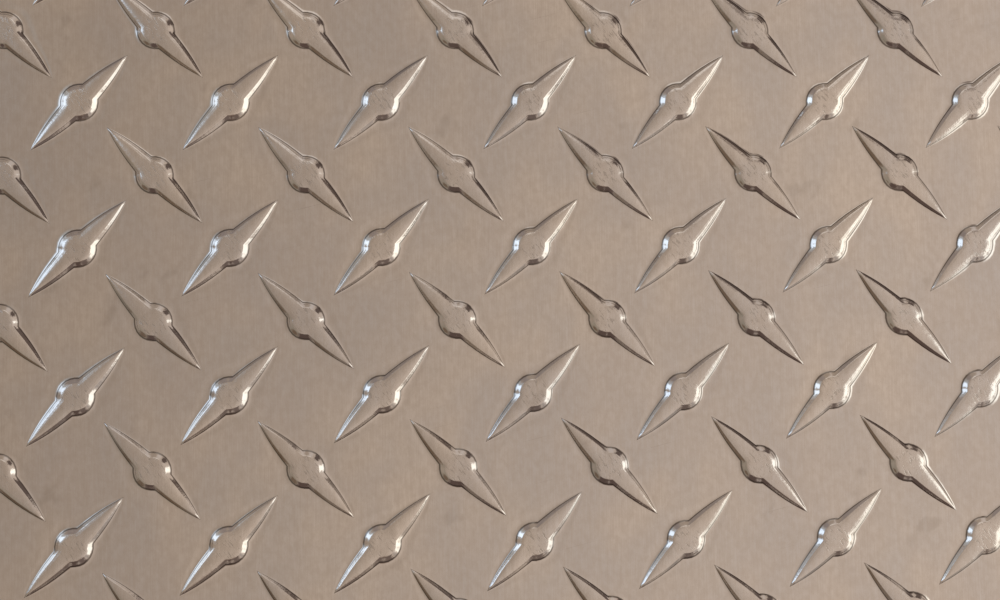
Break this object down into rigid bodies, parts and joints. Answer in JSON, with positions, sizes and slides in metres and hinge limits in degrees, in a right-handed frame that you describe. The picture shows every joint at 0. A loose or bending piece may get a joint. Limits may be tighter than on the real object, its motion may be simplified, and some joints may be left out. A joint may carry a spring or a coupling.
{
  "type": "embossed aluminium tread plate",
  "caption": "Flat sheet of bright rolled aluminium, embossed with crossed rows of pointed lugs that each have a round boss at the middle.",
  "frame": {"origin": "centre of the flat back face, which lies on the floor", "axes": "+Z out of the tread side, +Y along the rolling direction, +X across the sheet"},
  "size_m": [0.3048, 0.3048, 0.0026],
  "materials": {
    "bright_aluminium": "bright rolled, with fine grain along Y and scuffed lug tops"
  },
  "bodies": {
    "root": {"tread_plate": "bright_aluminium"}
  },
  "joints": []
}
